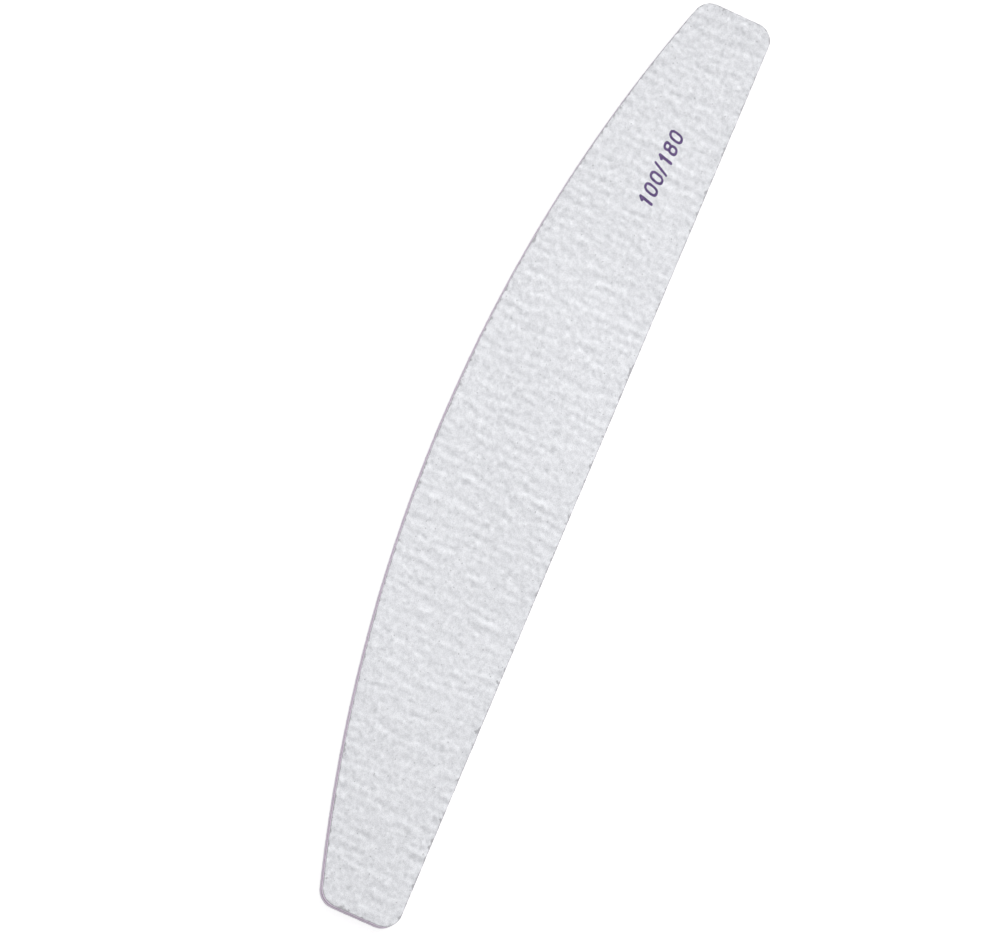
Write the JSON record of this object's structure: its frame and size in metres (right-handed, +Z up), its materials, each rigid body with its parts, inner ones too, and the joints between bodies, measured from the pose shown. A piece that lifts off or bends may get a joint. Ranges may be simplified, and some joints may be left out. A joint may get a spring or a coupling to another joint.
{
  "type": "nail file",
  "caption": "Half-moon nail file board: coarse and fine abrasive paper faces on pale foam plies with a purple plastic core, one long edge straight and the other arched.",
  "frame": {"origin": "on the underside, at the middle of the board's length and width", "axes": "+X along the board towards the end with the printed numbers, +Y towards the arched edge, +Z up out of the coarse face"},
  "size_m": [0.178, 0.0276, 0.004],
  "materials": {
    "coarse_grit": "rough pale grey abrasive, coarse, with short wavy ripples across the width",
    "fine_grit": "rough pale grey abrasive, fine",
    "backing_paper": "matte grey cut paper",
    "adhesive_film": "clear, slightly cloudy film",
    "foam": "matte pale pink-lilac closed-cell foam",
    "bond_film": "mauve glue line",
    "core_plastic": "satin dark purple, cut edge",
    "printed_ink": "dark violet-blue printing ink"
  },
  "bodies": {
    "root": {"fine_grit_coat": "fine_grit", "fine_backing_paper": "backing_paper", "fine_adhesive_film": "adhesive_film", "lower_foam_ply": "foam", "lower_bond_film": "bond_film", "core_strip": "core_plastic", "upper_bond_film": "bond_film", "upper_foam_ply": "foam", "coarse_adhesive_film": "adhesive_film", "coarse_backing_paper": "backing_paper", "coarse_grit_coat": "coarse_grit"}
  },
  "joints": []
}
